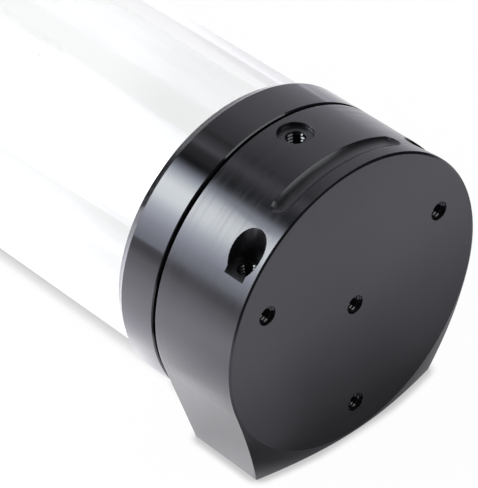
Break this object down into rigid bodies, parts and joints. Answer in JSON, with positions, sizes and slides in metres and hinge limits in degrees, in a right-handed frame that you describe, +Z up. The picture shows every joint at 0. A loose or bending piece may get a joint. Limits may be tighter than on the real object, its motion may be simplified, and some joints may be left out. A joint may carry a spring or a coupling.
{
  "type": "water cooling reservoir",
  "caption": "Clear tube reservoir for a liquid cooling loop, lying on the flat feet of two black end blocks, with union collars, tapped mounting holes and threaded ports.",
  "frame": {"origin": "middle of the reservoir on the surface that its feet stand on", "axes": "+Y along the tube towards the port end, +Z up, +X to the right seen from the base end"},
  "size_m": [0.064, 0.25, 0.0642],
  "materials": {
    "acetal_satin": "turned satin",
    "acetal_polished": "polished",
    "clear_acrylic": "clear, polished",
    "black_rubber": "smooth",
    "spring_steel": "bright drawn",
    "white_slip": "waxy"
  },
  "bodies": {
    "base": {"base_block": "acetal_satin", "base_tube_seal": "black_rubber"},
    "tube": {"tube": "clear_acrylic", "base_slip_ring": "white_slip", "base_retaining_ring": "spring_steel", "port_slip_ring": "white_slip", "port_retaining_ring": "spring_steel"},
    "base_collar": {"base_collar": "acetal_polished"},
    "port_end": {"port_block": "acetal_satin", "port_tube_seal": "black_rubber", "inlet_pipe": "clear_acrylic", "inlet_pipe_seal": "black_rubber", "baffle_hub": "acetal_satin", "baffle_blade_1": "clear_acrylic", "baffle_blade_2": "clear_acrylic", "baffle_blade_3": "clear_acrylic", "baffle_screw": "spring_steel", "baffle_washer": "spring_steel"},
    "port_collar": {"port_collar": "acetal_polished"},
    "fill_seal": {"fill_plug_seal": "black_rubber"},
    "fill_plug": {"fill_plug": "acetal_polished"}
  },
  "joints": [
    {"name": "tube_draw", "type": "slide", "parent": "base", "child": "tube", "axis": [0, 1, 0], "range_m": [0, 0.00375]},
    {"name": "base_collar_turn", "type": "hinge", "parent": "tube", "child": "base_collar", "pos_m": [0, 0, 0.0322], "axis": [0, 1, 0], "range_deg": [0, 900.1]},
    {"name": "port_draw", "type": "slide", "parent": "tube", "child": "port_end", "axis": [0, 1, 0], "range_m": [0, 0.00375]},
    {"name": "port_collar_turn", "type": "hinge", "parent": "tube", "child": "port_collar", "pos_m": [0, 0, 0.0322], "axis": [0, -1, 0], "range_deg": [0, 900.1]},
    {"name": "fill_plug_out", "type": "slide", "parent": "port_end", "child": "fill_seal", "axis": [0, 1, 0], "range_m": [0, 0.00802]},
    {"name": "fill_plug_turn", "type": "hinge", "parent": "fill_seal", "child": "fill_plug", "pos_m": [0, 0.125, 0.0472], "axis": [0, 1, 0], "range_deg": [0, 2160.1]}
  ],
  "couplings": [
    {"joint": "base_collar_turn", "follows": "tube_draw", "rad_per_m": 4188.8},
    {"joint": "port_collar_turn", "follows": "port_draw", "rad_per_m": 4188.8},
    {"joint": "fill_plug_turn", "follows": "fill_plug_out", "rad_per_m": 4700}
  ]
}
